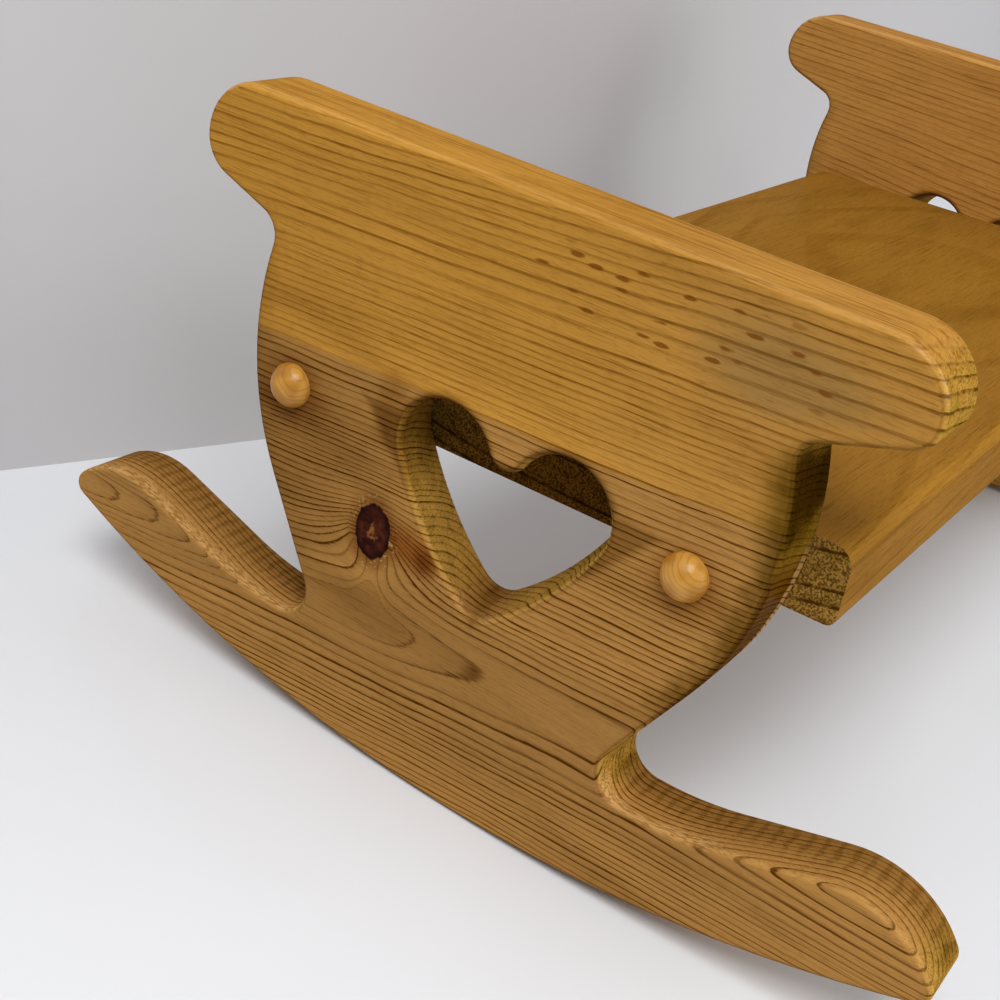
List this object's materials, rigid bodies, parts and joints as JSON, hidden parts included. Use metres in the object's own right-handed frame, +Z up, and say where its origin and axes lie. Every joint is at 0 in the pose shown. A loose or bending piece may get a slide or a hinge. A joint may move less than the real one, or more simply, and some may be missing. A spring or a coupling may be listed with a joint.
{
  "type": "rocking bench",
  "caption": "Small varnished pine rocking bench: shaped end boards with rockers and a heart cut-out carry a flat seat board, screwed on under button plugs.",
  "frame": {"origin": "on the floor, at the middle of the bench's length and of the rockers' length", "axes": "+X along the seat from the left end to the right end, -Y to the front edge of the seat, +Z up"},
  "size_m": [0.3584, 0.264, 0.1597],
  "materials": {
    "end_pine": "satin varnish",
    "seat_pine": "satin varnish",
    "birch_plug": "gloss varnish",
    "zinc_screw": "zinc plated"
  },
  "bodies": {
    "root": {"left_end_board": "end_pine", "right_end_board": "end_pine", "seat_board": "seat_pine", "left_front_plug": "birch_plug", "left_front_screw": "zinc_screw", "left_back_plug": "birch_plug", "left_back_screw": "zinc_screw", "right_front_plug": "birch_plug", "right_front_screw": "zinc_screw", "right_back_plug": "birch_plug", "right_back_screw": "zinc_screw"}
  },
  "joints": []
}
